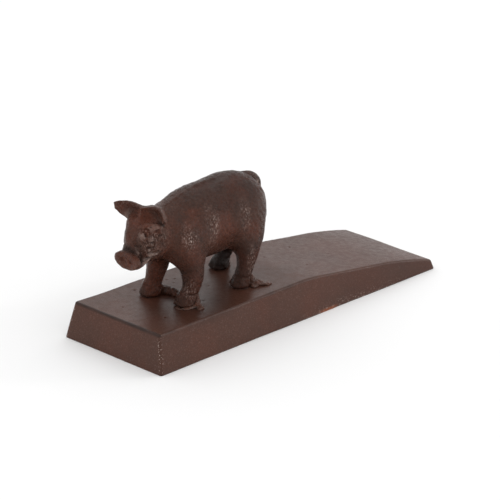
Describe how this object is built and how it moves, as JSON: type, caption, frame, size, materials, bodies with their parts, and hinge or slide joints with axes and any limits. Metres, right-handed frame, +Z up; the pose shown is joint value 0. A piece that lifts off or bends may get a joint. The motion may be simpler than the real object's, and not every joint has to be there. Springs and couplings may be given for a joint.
{
  "type": "door stop",
  "caption": "Cast-iron door stop: a long hollow wedge with a flat deck and a ramp, and a small pig figure welded to the deck.",
  "frame": {"origin": "middle of the wedge's rectangular footprint, on the floor", "axes": "+X runs to the thin tip that slides under the door, +Z is up, and the pig faces -X"},
  "size_m": [0.15, 0.0514, 0.0566],
  "materials": {
    "wedge_iron": "antique rust-brown lacquer over sand-cast iron, satin",
    "pig_iron": "antique rust-brown lacquer over sand-cast iron, satin, with rubbed highlights",
    "weld_metal": "rough weld metal under the same rust-brown lacquer"
  },
  "bodies": {
    "root": {"wedge_casting": "wedge_iron", "pig_casting": "pig_iron", "weld_bead_left_front": "weld_metal", "weld_bead_right_front": "weld_metal", "weld_bead_left_hind": "weld_metal", "weld_bead_right_hind": "weld_metal"}
  },
  "joints": []
}
